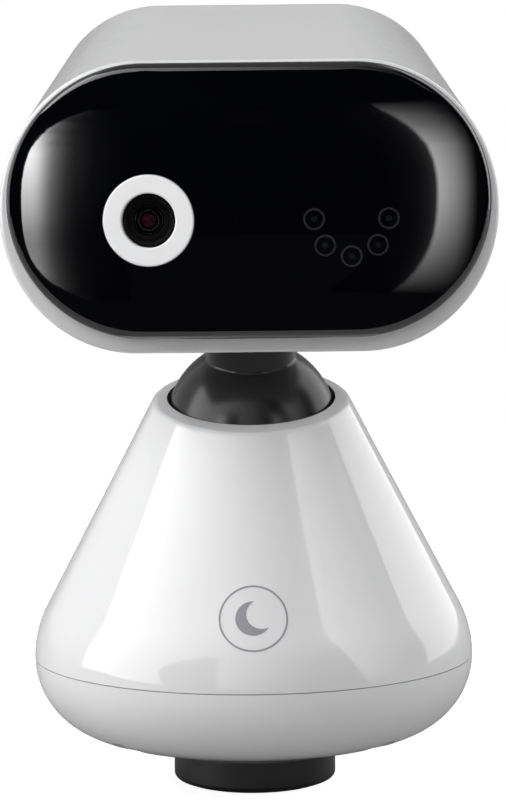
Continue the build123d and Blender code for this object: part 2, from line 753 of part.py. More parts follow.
floor_u = body_up - face_r
plate_u = floor_u + 2.35
plate_r = 9.2
with BuildPart() as head_shell:
    add(head_outer.part)
    add(head_cavity.part, mode=Mode.SUBTRACT)
    with BuildSketch(front_plane(face_y - 2.0, z=cover_z)):
        SlotOverall(2 * (cover_straight + cover_r + seam), 2 * (cover_r + seam))
    extrude(amount=-(cover_skirt_y - face_y + 2.0), mode=Mode.SUBTRACT)
    with BuildSketch(neck_plane(floor_u - 4.0)):    # shallow recess above the ball
        Circle(13.8)
    extrude(amount=4.85, mode=Mode.SUBTRACT)
    with BuildSketch(neck_plane(plate_u - 0.65)):   # flat seat of the neck plate
        Circle(plate_r + seam)
    extrude(amount=0.65)
    with BuildSketch(neck_plane(plate_u)):
        Circle(plate_r + seam)
    extrude(amount=3.0, mode=Mode.SUBTRACT)
    with BuildSketch(neck_plane(floor_u - 4.0)):
        Circle(6.2 + fit)
    extrude(amount=9.0, mode=Mode.SUBTRACT)
    with BuildSketch(head_plane(rear_t)):           # seat of the rear cover
        SlotOverall(2 * (rear_cover_straight + rear_cover_r), 2 * rear_cover_r)
    extrude(amount=1.8, mode=Mode.SUBTRACT)
    with BuildSketch(head_plane(rear_t)):
        SlotOverall(2 * 23.8, 2 * 10.8)
        with Locations((-rear_screw_x, 0), (rear_screw_x, 0)):
            Circle(0.65 + fit)
    extrude(amount=5.0, mode=Mode.SUBTRACT)
head_shell.part.label = "head_shell"
export_step(head_shell.part, "parts/head_shell.step")

with BuildPart() as neck_plate:
    with BuildSketch(neck_plane(plate_u)):
        Circle(plate_r)
        Circle(3.2, mode=Mode.SUBTRACT)
        with PolarLocations(4.7, 3, start_angle=90):
            Circle(0.75, mode=Mode.SUBTRACT)
    extrude(amount=1.6)
neck_plate.part.label = "neck_plate"
export_step(neck_plate.part, "parts/neck_plate.step")

neck_places = [(4.7 * cos(radians(a)), 4.7 * sin(radians(a))) for a in (90, 210, 330)]
neck_screws = screws(neck_plane(plate_u + 1.6), neck_places, 1.3, 0.9, 0.6, 6.0)
neck_screws.part.label = "neck_screws"
export_step(neck_screws.part, "parts/neck_screws.step")

# rear cover with its speaker, microphone and pairing button
speaker_x = -9.0
button_x = 10.5
mic_x = 20.0
cover_inner_t = rear_t - 1.8
with BuildPart() as rear_cover:
    with BuildSketch(head_plane(rear_t)):
        SlotOverall(2 * (rear_cover_straight + rear_cover_r - seam), 2 * (rear_cover_r - seam))
    extrude(amount=1.8)
    with BuildSketch(head_plane(cover_inner_t)):    # posts of the button board
        with Locations((button_x, -7.2), (button_x, 7.2)):
            Circle(1.3)
    extrude(amount=4.4)
    with BuildSketch(head_plane(rear_t)):
        with Locations((speaker_x, 0)):
            Circle(0.6)
            with PolarLocations(2.6, 6):
                Circle(0.6)
            with PolarLocations(5.2, 12):
                Circle(0.6)
            with PolarLocations(7.8, 18):
                Circle(0.6)
        with Locations((mic_x, 0)):
            Circle(0.5)
        with Locations((button_x, 0)):
            Circle(3.1)
        with Locations((-rear_screw_x, 0), (rear_screw_x, 0)):
            Circle(0.75)
    extrude(amount=1.8, mode=Mode.SUBTRACT)
    with BuildSketch(head_plane(rear_t)):           # sunk screw heads
        with Locations((-rear_screw_x, 0), (rear_screw_x, 0)):
            Circle(1.5)
    extrude(amount=0.9, mode=Mode.SUBTRACT)
    fillet(rear_cover.faces().sort_by(behind)[-1].outer_wire().edges(), 0.25)
rear_cover.part.label = "rear_cover"
export_step(rear_cover.part, "parts/rear_cover.step")

rear_cover_screws = screws(rear_facing(head_plane(rear_t - 0.9)), [(-rear_screw_x, 0), (rear_screw_x, 0)],
                           1.35, 0.7, 0.65, 3.2)
rear_cover_screws.part.label = "rear_cover_screws"
export_step(rear_cover_screws.part, "parts/rear_cover_screws.step")

with BuildPart() as speaker_gasket:
    with BuildSketch(head_plane(cover_inner_t)):
        with Locations((speaker_x, 0)):
            Circle(10.3)
            Circle(9.0, mode=Mode.SUBTRACT)
    extrude(amount=0.8)
speaker_gasket.part.label = "speaker_gasket"
export_step(speaker_gasket.part, "parts/speaker_gasket.step")

with BuildPart() as speaker:
    with BuildSketch(head_plane(cover_inner_t - 0.8)):
        with Locations((speaker_x, 0)):
            Circle(10.3)
    extrude(amount=2.4)
    with BuildSketch(head_plane(cover_inner_t - 3.2)):
        with Locations((speaker_x, 0)):
            Circle(6.5)
    extrude(amount=2.4)
    with BuildSketch(head_plane(cover_inner_t - 0.8)):
        with Locations((speaker_x, 0)):
            Circle(8.8)
            Circle(3.6, mode=Mode.SUBTRACT)
    extrude(amount=0.7, mode=Mode.SUBTRACT)
speaker.part.label = "speaker"
export_step(speaker.part, "parts/speaker.step")

with BuildPart() as microphone:
    with BuildSketch(head_plane(cover_inner_t)):
        with Locations((mic_x, 0)):
            Circle(2.0)
    extrude(amount=1.6)
microphone.part.label = "microphone"
export_step(microphone.part, "parts/microphone.step")

with BuildPart() as pair_button:
    with BuildSketch(head_plane(rear_t + 0.5)):
        with Locations((button_x, 0)):
            Circle(2.95)
    extrude(amount=2.5)
    fillet(pair_button.edges().group_by(behind)[-1], 0.4)
    with BuildSketch(head_plane(cover_inner_t - 0.2)):
        with Locations((button_x, 0)):
            Circle(3.9)
    extrude(amount=0.7)
pair_button.part.label = "pair_button"
export_step(pair_button.part, "parts/pair_button.step")

button_board_t = cover_inner_t - 4.4
with BuildPart() as button_board:
    with BuildSketch(head_plane(button_board_t)):
        with Locations((button_x + 0.6, 0)):
            RectangleRounded(8.0, 18.0, 0.8)
    extrude(amount=0.8)
button_board.part.label = "button_board"
export_step(button_board.part, "parts/button_board.step")

with BuildPart() as pair_switch:
    with BuildSketch(head_plane(button_board_t)):
        with Locations((button_x, 0)):
            Rectangle(4.5, 4.5)
    extrude(amount=-2.0)
    with BuildSketch(head_plane(button_board_t)):
        with Locations((button_x, 0)):
            Circle(1.1)
    extrude(amount=-2.5)
pair_switch.part.label = "pair_switch"
export_step(pair_switch.part, "parts/pair_switch.step")

# front cover: a domed black visor
crown_axis = Axis((0, dome_peak_y + dome_crown_r, cover_z), (1, 0, 0))
crown_sweep = 34.0


def dome_form(inset):
    """Solid bounded in front by the visor's dome, the given distance inside its outer face."""
    half = dome_half_width - inset
    rear = dome_depth - dome_crown_r
    with BuildPart() as form:
        with BuildSketch(Plane(origin=crown_axis.position).rotated((-crown_sweep / 2, 0, 0))):
            with BuildLine():
                EllipticalCenterArc((0, rear), half, dome_depth - inset, start_angle=180, arc_size=180)
                Line((half, rear), (half, rear + 3.0))
                Line((half, rear + 3.0), (-half, rear + 3.0))
                Line((-half, rear + 3.0), (-half, rear))
            make_face()
        revolve(axis=crown_axis, revolution_arc=crown_sweep)
    return form


def cover_form(inset, back_y):
    """The dome trimmed to the visor's outline."""
    with BuildPart() as form:
        with BuildSketch(front_plane(back_y, z=cover_z)):
            SlotOverall(2 * (cover_straight + cover_r - inset), 2 * (cover_r - inset))
        extrude(amount=back_y - dome_peak_y + 1.0)
        add(dome_form(inset).part, mode=Mode.INTERSECT)
    return form


slope_at_lens = dome_depth * lens_x / dome_half_width ** 2 / sqrt(1 - (lens_x / dome_half_width) ** 2)
ring_plane = Plane(origin=(lens_x, dome_y(lens_x) - 0.12, lens_z), x_dir=(1, slope_at_lens, 0),
                   z_dir=(slope_at_lens, -1, 0))
cap_screw_places = [(sx * 30.5, cover_z + sz * 11.0) for sx in (-1, 1) for sz in (-1, 1)]
bracket_front = -18.6
board_post_x = 26.5
board_post_places = [(sx * board_post_x, cover_z + rise) for rise in (-4.4, 12.1) for sx in (-1, 1)]

with BuildPart() as cover_blank:
    add(cover_form(0.0, cover_skirt_y).part)
    dome_face = cover_blank.faces().filter_by(GeomType.PLANE, reverse=True).sort_by(Axis.Y)[0]
    fillet(dome_face.outer_wire().edges(), cover_round)

with BuildPart() as cover_skin:
    add(cover_blank.part)
    add(cover_form(cover_wall, cover_skirt_y).part, mode=Mode.SUBTRACT)

with BuildPart() as front_cover:
    with BuildSketch(front_plane(bracket_front)):
        with Locations(*cap_screw_places):
            Circle(2.2)
    extrude(amount=8.0)
    add(cover_blank.part, mode=Mode.INTERSECT)
    add(cover_skin.part)
    with BuildSketch(ring_plane.offset(1.0)):
        Circle(7.1 + seam)
    extrude(amount=-6.0, mode=Mode.SUBTRACT)
    with BuildSketch(front_plane(-22.0)):
        with Locations(*led_places):
            Circle(led_window_r + 0.05)
        with Locations((-3.0, lens_z)):
            Circle(1.0 + 0.05)
        with Locations((0, cover_z + 12.8)):
            SlotOverall(7.1, 2.1)
    extrude(amount=9.0, mode=Mode.SUBTRACT)
    with BuildSketch(front_plane(bracket_front)):
        with Locations(*cap_screw_places):
            Circle(0.65 + fit)
    extrude(amount=4.5, mode=Mode.SUBTRACT)
front_cover.part.label = "front_cover"
export_step(front_cover.part, "parts/front_cover.step")

with BuildPart() as led_windows:
    with BuildSketch(front_plane(-22.0)):
        with Locations(*led_places):
            Circle(led_window_r)
    extrude(amount=9.0)
    add(cover_skin.part, mode=Mode.INTERSECT)
led_windows.part.label = "led_windows"
export_step(led_windows.part, "parts/led_windows.step")

with BuildPart() as light_sensor_window:
    with BuildSketch(front_plane(-22.0)):
        with Locations((-3.0, lens_z)):
            Circle(1.0)
    extrude(amount=9.0)
    add(cover_skin.part, mode=Mode.INTERSECT)
light_sensor_window.part.label = "light_sensor_window"
export_step(light_sensor_window.part, "parts/light_sensor_window.step")

with BuildPart() as status_window:
    with BuildSketch(front_plane(-22.0)):
        with Locations((0, cover_z + 12.8)):
            SlotOverall(7.0, 2.0)
    extrude(amount=9.0)
    add(cover_skin.part, mode=Mode.INTERSECT)
status_window.part.label = "status_window"
export_step(status_window.part, "parts/status_window.step")

with BuildPart() as lens_ring:
    with BuildSketch(ring_plane):
        Circle(7.1)
    extrude(amount=-2.0)
    with BuildSketch(ring_plane):
        Circle(4.2)
    extrude(amount=-3.0, mode=Mode.SUBTRACT)
    fillet(lens_ring.faces().sort_by(Axis.Y)[0].edges(), 0.3)
lens_ring.part.label = "lens_ring"
export_step(lens_ring.part, "parts/lens_ring.step")

lens_at = [(lens_x, lens_z)]
with BuildPart() as camera_bracket:
    with BuildSketch(front_plane(bracket_front)):
        with Locations((0, cover_z)):
            SlotOverall(2 * 34.3, 2 * 16.2)
        with Locations(*lens_at):
            Rectangle(14.4, 14.4, mode=Mode.SUBTRACT)
        with Locations(*cap_screw_places):
            Circle(0.75, mode=Mode.SUBTRACT)
    extrude(amount=-1.6)
    with BuildSketch(front_plane(bracket_front)):   # posts of the lamp board
        with Locations((8.0, lens_z - 6.5), (24.0, lens_z - 6.5), (0, lens_z + 14.0)):
            Circle(1.4)
    extrude(amount=1.0)
    with BuildSketch(front_plane(bracket_front + 1.6)):   # posts of the main board
        with Locations(*board_post_places):
            Circle(2.0)
    extrude(amount=-11.0)
    with BuildSketch(front_plane(bracket_front + 7.6)):
        with Locations(*board_post_places):
            Circle(0.65 + fit)
    extrude(amount=-6.0, mode=Mode.SUBTRACT)
camera_bracket.part.label = "camera_bracket"
export_step(camera_bracket.part, "parts/camera_bracket.step")

board_y = bracket_front + 1.6                       # back of the bracket
with BuildPart() as sensor_board:
    with BuildSketch(front_plane(board_y)):
        with Locations(*lens_at):
            RectangleRounded(16.4, 16.4, 1.0)
    extrude(amount=-1.0)
sensor_board.part.label = "sensor_board"
export_step(sensor_board.part, "parts/sensor_board.step")

with BuildPart() as image_sensor:
    with BuildSketch(front_plane(board_y)):
        with Locations(*lens_at):
            Rectangle(6.4, 5.6)
    extrude(amount=0.9)
image_sensor.part.label = "image_sensor"
export_step(image_sensor.part, "parts/image_sensor.step")

with BuildPart() as lens_holder:
    with BuildSketch(front_plane(board_y)):
        with Locations(*lens_at):
            RectangleRounded(14.0, 14.0, 1.0)
    extrude(amount=4.0)
    with BuildSketch(front_plane(board_y - 4.0)):
        with Locations(*lens_at):
            Circle(6.9)
    extrude(amount=2.4)
    with BuildSketch(front_plane(board_y)):
        with Locations(*lens_at):
            Rectangle(8.4, 8.4)
    extrude(amount=1.4, mode=Mode.SUBTRACT)
    with BuildSketch(front_plane(board_y - 1.4)):
        with Locations(*lens_at):
            Circle(6.0 + fit)
    extrude(amount=6.0, mode=Mode.SUBTRACT)
lens_holder.part.label = "lens_holder"
export_step(lens_holder.part, "parts/lens_holder.step")

barrel_front = dome_y(lens_x) + 3.3
with BuildPart() as lens_barrel:
    with BuildSketch(front_plane(board_y - 1.8)):
        with Locations(*lens_at):
            Circle(6.0)
    extrude(amount=board_y - 1.8 - barrel_front)
    with BuildSketch(front_plane(barrel_front)):
        with Locations(*lens_at):
            Circle(3.85)
    extrude(amount=1.8)
    with BuildSketch(front_plane(barrel_front - 1.8)):    # stepped hood in front of the glass
        with Locations(*lens_at):
            Circle(3.4)
    extrude(amount=-0.8, mode=Mode.SUBTRACT)
    with BuildSketch(front_plane(barrel_front - 1.0)):
        with Locations(*lens_at):
            Circle(2.4)
    extrude(amount=-12.0, mode=Mode.SUBTRACT)
lens_barrel.part.label = "lens_barrel"
export_step(lens_barrel.part, "parts/lens_barrel.step")

with BuildPart() as lens_glass:
    with BuildSketch(front_plane(barrel_front - 0.7)):
        with Locations(*lens_at):
            Circle(2.4 - fit)
    extrude(amount=-2.4)
    fillet(lens_glass.edges().group_by(Axis.Y)[0], 0.35)
lens_glass.part.label = "lens_glass"
export_step(lens_glass.part, "parts/lens_glass.step")

lamp_y = bracket_front - 1.0                        # back of the lamp board
with BuildPart() as led_board:
    with BuildSketch(front_plane(lamp_y)):
        with Locations((10.6, lens_z - 1.4)):
            RectangleRounded(31.0, 15.0, 1.0)
        with Locations((0, lens_z + 11.5)):
            RectangleRounded(9.8, 12.0, 1.0)
    extrude(amount=1.0)
led_board.part.label = "led_board"
export_step(led_board.part, "parts/led_board.step")

with BuildPart() as ir_leds:
    with BuildSketch(front_plane(lamp_y - 1.0)):
        with Locations(*led_places):
            Circle(1.45)
    extrude(amount=0.9)
    with BuildSketch(front_plane(lamp_y - 1.9)):
        with Locations(*led_places):
            Circle(1.2)
    extrude(amount=2.4)
    fillet(ir_leds.edges().group_by(Axis.Y)[0], 1.0)
ir_leds.part.label = "ir_leds"
export_step(ir_leds.part, "parts/ir_leds.step")

with BuildPart() as light_sensor:
    with BuildSketch(front_plane(lamp_y - 1.0)):
        with Locations((-3.0, lens_z)):
            Rectangle(2.0, 2.6)
    extrude(amount=1.2)
light_sensor.part.label = "light_sensor"
export_step(light_sensor.part, "parts/light_sensor.step")

with BuildPart() as status_led:
    with BuildSketch(front_plane(lamp_y - 1.0)):
        with Locations((0, cover_z + 12.8)):
            Rectangle(3.2, 1.6)
    extrude(amount=1.1)
status_led.part.label = "status_led"
export_step(status_led.part, "parts/status_led.step")

main_y = bracket_front + 12.6                       # front of the main board
with BuildPart() as main_board:
    with BuildSketch(front_plane(main_y)):
        with Locations((0, cover_z + 3.85)):
            RectangleRounded(60.0, 21.5, 1.0)
        with Locations(*board_post_places):
            Circle(0.75, mode=Mode.SUBTRACT)
    extrude(amount=-1.2)
main_board.part.label = "main_board"
export_step(main_board.part, "parts/main_board.step")

main_back = main_y + 1.2
board_screw_seats = [(bracket_front + 1.6, cap_screw_places), (main_back, board_post_places)]
with BuildPart() as board_screws:                   # the same screw holds the bracket and the main board
    for seat_y, places in board_screw_seats:
        mirrored = [(-x, z) for x, z in places]
        add(screws(rear_facing(front_plane(seat_y)), mirrored, 1.3, 0.9, 0.65, 5.2).part)
board_screws.part.label = "board_screws"
export_step(board_screws.part, "parts/board_screws.step")

with BuildPart() as radio_shield:
    with BuildSketch(front_plane(main_back)):
        with Locations((-13.0, cover_z + 3.6)):
            RectangleRounded(18.0, 14.0, 0.6)
    extrude(amount=-2.2)
radio_shield.part.label = "radio_shield"
export_step(radio_shield.part, "parts/radio_shield.step")

with BuildPart() as heat_sink:
    with BuildSketch(front_plane(main_back)):
        with Locations((10.0, cover_z + 3.6)):
            Rectangle(13.0, 13.0)
    extrude(amount=-5.0)
    with BuildSketch(front_plane(main_back + 1.2)):
        with Locations((10.0, cover_z + 3.6)):
            with GridLocations(2.6, 1.0, 4, 1):
                Rectangle(1.4, 15.0)
    extrude(amount=-5.0, mode=Mode.SUBTRACT)
heat_sink.part.label = "heat_sink"
export_step(heat_sink.part, "parts/heat_sink.step")

with BuildPart() as antenna:
    with BuildSketch(front_plane(main_back)):
        with Locations((0, cover_z + 12.4)):
            Rectangle(26.0, 3.0)
    extrude(amount=-0.5)
antenna.part.label = "antenna"
export_step(antenna.part, "parts/antenna.step")
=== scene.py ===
import bpy
import json
from math import cos, pi, radians, sin
from mathutils import Matrix, Vector

# Baby monitor camera: looks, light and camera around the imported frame. Metres, +Z up, it looks towards -Y.
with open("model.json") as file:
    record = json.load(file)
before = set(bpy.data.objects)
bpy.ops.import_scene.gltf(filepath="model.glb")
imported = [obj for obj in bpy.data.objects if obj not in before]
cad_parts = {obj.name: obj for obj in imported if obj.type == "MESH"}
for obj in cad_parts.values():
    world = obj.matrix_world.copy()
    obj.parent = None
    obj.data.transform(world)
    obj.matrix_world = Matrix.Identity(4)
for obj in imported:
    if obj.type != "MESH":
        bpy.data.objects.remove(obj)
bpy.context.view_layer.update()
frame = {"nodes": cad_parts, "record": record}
nodes = frame["nodes"]
slot_of = {row["node"]: row["material_slot"] for row in frame["record"]["subparts"]}

MM = 0.001
LENS_X = -15.6 * MM            # the lens's axis
LENS_Z = 94.25 * MM
LED_X = 15.8 * MM              # centre of the half circle of lamp windows
LED_Z = 94.25 * MM
LED_RING_R = 5.8 * MM


# ---------------------------------------------------------------- material helpers
class Shader:
    """A material's node tree with its Principled shader, and short ways to add to it."""

    def __init__(self, name, **constants):
        self.material = bpy.data.materials.new(name)
        self.material.use_nodes = True
        self.tree = self.material.node_tree
        self.principled = self.tree.nodes["Principled BSDF"]
        self.coordinates = self.add("ShaderNodeTexCoord").outputs["Object"]
        for socket, value in constants.items():
            self.principled.inputs[socket.replace("_", " ")].default_value = value

    def add(self, kind, **settings):
        node = self.tree.nodes.new(kind)
        for key, value in settings.items():
            setattr(node, key, value)
        return node

    def link(self, source, target):
        self.tree.links.new(source, target)

    def noise(self, per_metre, detail=3.0, roughness=0.5, distortion=0.0):
        """Grey noise with that many features a metre."""
        node = self.add("ShaderNodeTexNoise")
        node.inputs["Scale"].default_value = per_metre
        node.inputs["Detail"].default_value = detail
        node.inputs["Roughness"].default_value = roughness
        node.inputs["Distortion"].default_value = distortion
        self.link(self.coordinates, node.inputs["Vector"])
        return node.outputs["Fac"]

    def ramp(self, value, low, high, at=(0.3, 0.7)):
        """Maps a grey value to a colour between low and high."""
        node = self.add("ShaderNodeValToRGB")
        node.color_ramp.elements[0].position = at[0]
        node.color_ramp.elements[1].position = at[1]
        node.color_ramp.elements[0].color = (*low, 1.0)
        node.color_ramp.elements[1].color = (*high, 1.0)
        self.link(value, node.inputs["Fac"])
        return node.outputs["Color"]

    def spread(self, value, low, high):
        """Maps a value of 0 to 1 to low to high."""
        node = self.add("ShaderNodeMapRange")
        node.inputs["To Min"].default_value = low
        node.inputs["To Max"].default_value = high
        self.link(value, node.inputs["Value"])
        return node.outputs["Result"]

    def bump(self, height, depth, strength=1.0):
        """Bump of that depth in metres, on top of any bump already there."""
        node = self.add("ShaderNodeBump")
        node.inputs["Distance"].default_value = depth
        node.inputs["Strength"].default_value = strength
        self.link(height, node.inputs["Height"])
        before = self.principled.inputs["Normal"].links
        if before:
            self.link(before[0].from_socket, node.inputs["Normal"])
        self.link(node.outputs["Normal"], self.principled.inputs["Normal"])

    def colour(self, source):
        self.link(source, self.principled.inputs["Base Color"])

    def roughness(self, source):
        self.link(source, self.principled.inputs["Roughness"])


def distance_from(shader, x, z, ring_radius=0.0):
    """Distance in the X-Z plane from the point, or from the nearest of the eight places round it."""
    def calculate(operation, *values):
        node = shader.add("ShaderNodeMath", operation=operation)
        for socket, value in zip(node.inputs, values):
            if isinstance(value, float):
                socket.default_value = value
            else:
                shader.link(value, socket)
        return node.outputs["Value"]
    place = shader.add("ShaderNodeSeparateXYZ")
    shader.link(shader.coordinates, place.inputs["Vector"])
    across = calculate("SUBTRACT", place.outputs["X"], x)
    up = calculate("SUBTRACT", place.outputs["Z"], z)
    if ring_radius:
        turn = calculate("SNAP", calculate("ADD", calculate("ARCTAN2", up, across), pi / 8), pi / 4)
        across = calculate("SUBTRACT", across, calculate("MULTIPLY", calculate("COSINE", turn), ring_radius))
        up = calculate("SUBTRACT", up, calculate("MULTIPLY", calculate("SINE", turn), ring_radius))
    squares = calculate("ADD", calculate("MULTIPLY", across, across), calculate("MULTIPLY", up, up))
    return calculate("SQRT", squares)


def ringed_colour(shader, distance, span, bands):
    """Colour by distance from a centre: bands is a list of (distance, colour) up to the span."""
    share = shader.spread(distance, 0.0, 1.0 / span)
    ramp = shader.add("ShaderNodeValToRGB")
    ramp.color_ramp.interpolation = "CONSTANT"
    for index, (start, colour) in enumerate(bands):
        element = ramp.color_ramp.elements[index] if index < 2 else ramp.color_ramp.elements.new(start / span)
        element.position = start / span
        element.color = (*colour, 1.0)
    shader.link(share, ramp.inputs["Fac"])
    shader.colour(ramp.outputs["Color"])


def moulded_plastic(name, low, high, rough, grain_depth, coat=0.0, ior=1.5, grain_per_metre=2500.0):
    """Moulded plastic: faint colour drift, uneven gloss and a fine grain."""
    shader = Shader(name, IOR=ior, Coat_Weight=coat, Coat_Roughness=0.03)
    shader.colour(shader.ramp(shader.noise(18.0, detail=2.0), low, high))
    shader.roughness(shader.spread(shader.noise(90.0, detail=4.0), rough[0], rough[1]))
    shader.bump(shader.noise(grain_per_metre, detail=2.0), grain_depth)
    return shader


def metal(name, low, high, rough, streak_per_metre=(40.0, 40.0, 2500.0), grain_depth=4e-6):
    """Plated or turned metal with fine tool marks."""
    shader = Shader(name, Metallic=1.0)
    stretch = shader.add("ShaderNodeMapping")
    stretch.inputs["Scale"].default_value = streak_per_metre
    shader.link(shader.coordinates, stretch.inputs["Vector"])
    streaks = shader.add("ShaderNodeTexNoise")
    streaks.inputs["Scale"].default_value = 1.0
    streaks.inputs["Detail"].default_value = 4.0
    shader.link(stretch.outputs["Vector"], streaks.inputs["Vector"])
    shader.colour(shader.ramp(shader.noise(300.0), low, high))
    shader.roughness(shader.spread(streaks.outputs["Fac"], rough[0], rough[1]))
    shader.bump(streaks.outputs["Fac"], grain_depth)
    return shader


def circuit_board(name):
    """Green solder mask with copper tracks that show as a faint raised pattern."""
    shader = Shader(name, IOR=1.5, Coat_Weight=0.4, Coat_Roughness=0.2)
    tracks = shader.add("ShaderNodeTexBrick")
    tracks.inputs["Scale"].default_value = 260.0
    tracks.inputs["Mortar Size"].default_value = 0.03
    tracks.inputs["Color1"].default_value = (0.010, 0.110, 0.045, 1)
    tracks.inputs["Color2"].default_value = (0.012, 0.135, 0.055, 1)
    tracks.inputs["Mortar"].default_value = (0.030, 0.240, 0.090, 1)
    shader.link(shader.coordinates, tracks.inputs["Vector"])
    shader.colour(tracks.outputs["Color"])
    shader.roughness(shader.spread(shader.noise(500.0), 0.3, 0.45))
    shader.bump(tracks.outputs["Fac"], 2e-5)
    return shader


def glass(name, tint, rough=0.02):
    """Coated optical glass: dark, tinted and mirror smooth."""
    shader = Shader(name, IOR=1.6, Coat_Weight=1.0, Coat_Roughness=0.02, Transmission_Weight=0.35)
    shader.colour(shader.ramp(shader.noise(400.0), tint, [c * 1.3 for c in tint]))
    shader.roughness(shader.spread(shader.noise(900.0), rough, rough + 0.02))
    return shader


def make_materials():
    """One material for each of the record's slots."""
    white = moulded_plastic("shell_white", (0.80, 0.80, 0.81), (0.83, 0.83, 0.84), (0.07, 0.11), 1.5e-6,
                            coat=0.6)
    window = moulded_plastic("window_dark", (0.0030, 0.0028, 0.0036), (0.0040, 0.0036, 0.0044),
                             (0.05, 0.09), 5e-7, ior=1.95)
    # Painted light: round each of the eight window places the colour has a grey ring from 1.35 to 1.68 mm, a
    # painted highlight on the window's edge. It also has a slightly lighter centre within 0.5 mm, standing
    # for the lamp behind the dark window, painted as its reflection.
    ringed_colour(window, distance_from(window, LED_X, LED_Z, LED_RING_R), 2.5 * MM,
                  [(0.0, (0.010, 0.012, 0.016)), (0.5 * MM, (0.002, 0.002, 0.003)),
                   (1.35 * MM, (0.034, 0.035, 0.040)), (1.68 * MM, (0.002, 0.002, 0.003))])
    optic = glass("lens_glass", (0.020, 0.006, 0.016))
    # Painted light: the lens colour has a dark red disc within 1 mm of the axis, a painted reflection in the
    # inner lens. It also has a grey ring from 1.45 to 1.65 mm, a painted highlight on the inner lens's rim.
    ringed_colour(optic, distance_from(optic, LENS_X, LENS_Z), 2.5 * MM,
                  [(0.0, (0.060, 0.016, 0.026)), (1.0 * MM, (0.004, 0.003, 0.004)),
                   (1.45 * MM, (0.060, 0.050, 0.056)), (1.65 * MM, (0.003, 0.002, 0.003))])
    return {
        "shell_white": white,
        "visor_black": moulded_plastic("visor_black", (0.0012, 0.0014, 0.0024), (0.0018, 0.0020, 0.0032),
                                       (0.02, 0.04), 3e-7, ior=2.0),
        "window_dark": window,
        "neck_black": moulded_plastic("neck_black", (0.006, 0.006, 0.007), (0.009, 0.009, 0.010),
                                      (0.20, 0.27), 6e-6, grain_per_metre=4000.0),
        "foot_black": moulded_plastic("foot_black", (0.007, 0.007, 0.008), (0.011, 0.011, 0.012),
                                      (0.34, 0.44), 1e-5, grain_per_metre=4000.0),
        "emblem_grey": moulded_plastic("emblem_grey", (0.30, 0.30, 0.32), (0.34, 0.34, 0.36),
                                       (0.25, 0.32), 1e-6),
        "ring_white": moulded_plastic("ring_white", (0.88, 0.88, 0.89), (0.91, 0.91, 0.92),
                                      (0.18, 0.24), 1e-6, coat=0.3),
        "inner_black": moulded_plastic("inner_black", (0.005, 0.005, 0.005), (0.009, 0.009, 0.009),
                                       (0.40, 0.55), 1e-5),
        "inner_grey": moulded_plastic("inner_grey", (0.30, 0.31, 0.33), (0.34, 0.35, 0.37),
                                      (0.40, 0.55), 1e-5),
        "rubber_black": moulded_plastic("rubber_black", (0.012, 0.012, 0.012), (0.020, 0.020, 0.020),
                                        (0.60, 0.80), 3e-5, grain_per_metre=6000.0),
        "brass": metal("brass", (0.55, 0.36, 0.12), (0.66, 0.46, 0.17), (0.22, 0.36)),
        "steel": metal("steel", (0.50, 0.50, 0.52), (0.60, 0.60, 0.62), (0.24, 0.40)),
        "board_green": circuit_board("board_green"),
        "chip_black": moulded_plastic("chip_black", (0.012, 0.012, 0.013), (0.020, 0.020, 0.021),
                                      (0.45, 0.60), 1e-5),
        "lens_glass": optic,
        "led_clear": moulded_plastic("led_clear", (0.30, 0.28, 0.34), (0.36, 0.34, 0.40), (0.05, 0.10), 5e-7),
        "heat_black": metal("heat_black", (0.20, 0.20, 0.21), (0.28, 0.28, 0.29), (0.40, 0.55)),
        "nylon": moulded_plastic("nylon", (0.66, 0.64, 0.57), (0.72, 0.70, 0.63), (0.40, 0.50), 8e-6),
    }


materials = make_materials()
for name, obj in nodes.items():
    obj.data.materials.clear()
    obj.data.materials.append(materials[slot_of[name]].material)
    for face in obj.data.polygons:
        face.use_smooth = True


# ---------------------------------------------------------------- camera
CAMERA_DISTANCE = 0.450        # from the pan axis
CAMERA_HEIGHT = 0.10615
CAMERA_PITCH = -5.41           # degrees
CAMERA_ROLL = -0.59
CAMERA_LENS = 122.5

camera_data = bpy.data.cameras.new("camera")
camera_data.lens = CAMERA_LENS
camera_data.sensor_width = 36.0
camera = bpy.data.objects.new("camera", camera_data)
bpy.context.scene.collection.objects.link(camera)
camera.matrix_world = (Matrix.Translation((0.0003, -CAMERA_DISTANCE, CAMERA_HEIGHT))
                       @ Matrix.Rotation(radians(90.0 + CAMERA_PITCH), 4, "X")
                       @ Matrix.Rotation(radians(CAMERA_ROLL), 4, "Z"))
bpy.context.scene.camera = camera


# ---------------------------------------------------------------- studio
LIGHT_CENTRE = Vector((0.0, 0.0, 0.10))     # the lights are laid out round the head


def stage_mesh(name, points, faces, smooth=False):
    """A stage object from points and faces."""
    mesh = bpy.data.meshes.new(name)
    mesh.from_pydata(points, [], faces)
    for face in mesh.polygons:
        face.use_smooth = smooth
    obj = bpy.data.objects.new(name, mesh)
    bpy.context.scene.collection.objects.link(obj)
    return obj


def seen_by(obj, camera_rays, diffuse, glossy, shadow):
    """Which rays meet a stage object."""
    obj.visible_camera = camera_rays
    obj.visible_diffuse = diffuse
    obj.visible_glossy = glossy
    obj.visible_transmission = glossy
    obj.visible_shadow = shadow


def glowing(name, strength):
    """A plain white emissive material."""
    material = bpy.data.materials.new(name)
    material.use_nodes = True
    tree = material.node_tree
    tree.nodes.clear()
    emission = tree.nodes.new("ShaderNodeEmission")
    emission.inputs["Strength"].default_value = strength
    output = tree.nodes.new("ShaderNodeOutputMaterial")
    tree.links.new(emission.outputs["Emission"], output.inputs["Surface"])
    return material


def sheet_material(name, glow):
    """Pale matt sheet; a glow stands for the light that comes through a lit table."""
    shader = Shader(name, IOR=1.3, Emission_Color=(1.0, 1.0, 1.0, 1.0), Emission_Strength=glow)
    shader.colour(shader.ramp(shader.noise(3.0), (0.50, 0.50, 0.50), (0.52, 0.52, 0.52)))
    shader.roughness(shader.spread(shader.noise(200.0), 0.7, 0.8))
    return shader.material


